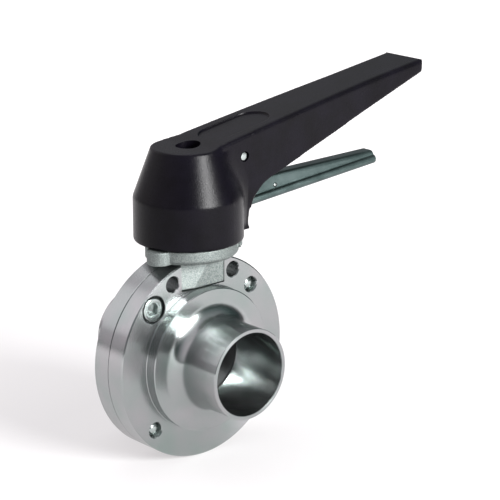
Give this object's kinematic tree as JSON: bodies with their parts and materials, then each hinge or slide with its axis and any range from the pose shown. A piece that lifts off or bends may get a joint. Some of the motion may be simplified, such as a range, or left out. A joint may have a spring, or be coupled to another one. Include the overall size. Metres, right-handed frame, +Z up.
{
  "type": "butterfly valve",
  "caption": "Hygienic butterfly valve with weld ends, split flanged body, rubber seat, disc and stem, and a plastic lever handle locked by a sprung squeeze trigger over a notched plate.",
  "frame": {"origin": "centre of the disc, where the pipe's axis crosses the stem's axis", "axes": "+Z up the stem, +Y along the pipe, +X along the handle with the valve closed"},
  "size_m": [0.1682, 0.076, 0.1515],
  "materials": {
    "satin_stainless": "turned and satin polished stainless steel",
    "cast_stainless": "blasted investment-cast stainless steel, fine matte grain",
    "plated_steel": "pressed sheet steel, grey-green plated, satin",
    "bright_steel": "bright machined steel",
    "black_rubber": "matte moulded rubber",
    "black_nylon": "moulded glass-filled nylon, fine texture with a satin sheen",
    "white_polymer": "plain white bearing polymer"
  },
  "bodies": {
    "valve_body": {"front_body_half": "satin_stainless", "back_body_half": "satin_stainless", "seat_ring": "black_rubber", "upper_stem_bush": "white_polymer", "lower_stem_bush": "white_polymer", "index_bracket": "cast_stainless", "clamp_screw_1": "bright_steel", "clamp_screw_2": "bright_steel", "clamp_screw_3": "bright_steel", "clamp_screw_4": "bright_steel"},
    "handle": {"valve_disc": "satin_stainless", "handle_body": "black_nylon", "drive_insert": "bright_steel", "handle_screw": "bright_steel", "handle_washer": "bright_steel", "trigger_pin": "bright_steel"},
    "trigger": {"trigger_lever": "plated_steel", "lock_pawl": "bright_steel", "pawl_rivet_1": "bright_steel", "pawl_rivet_2": "bright_steel", "spring_guide_pin": "bright_steel", "guide_cross_pin": "bright_steel", "trigger_spring": "bright_steel"}
  },
  "joints": [
    {"name": "stem_turn", "type": "hinge", "parent": "valve_body", "child": "handle", "pos_m": [0, 0, 0], "axis": [0, 0, 1], "range_deg": [0, 90]},
    {"name": "trigger_squeeze", "type": "hinge", "parent": "handle", "child": "trigger", "pos_m": [0.0192, 0, 0.0826], "axis": [0, -1, 0], "range_deg": [0, 9], "stiffness_Nm_per_rad": 2.9, "springref_deg": -8.02, "deforming": ["trigger_spring"]}
  ]
}
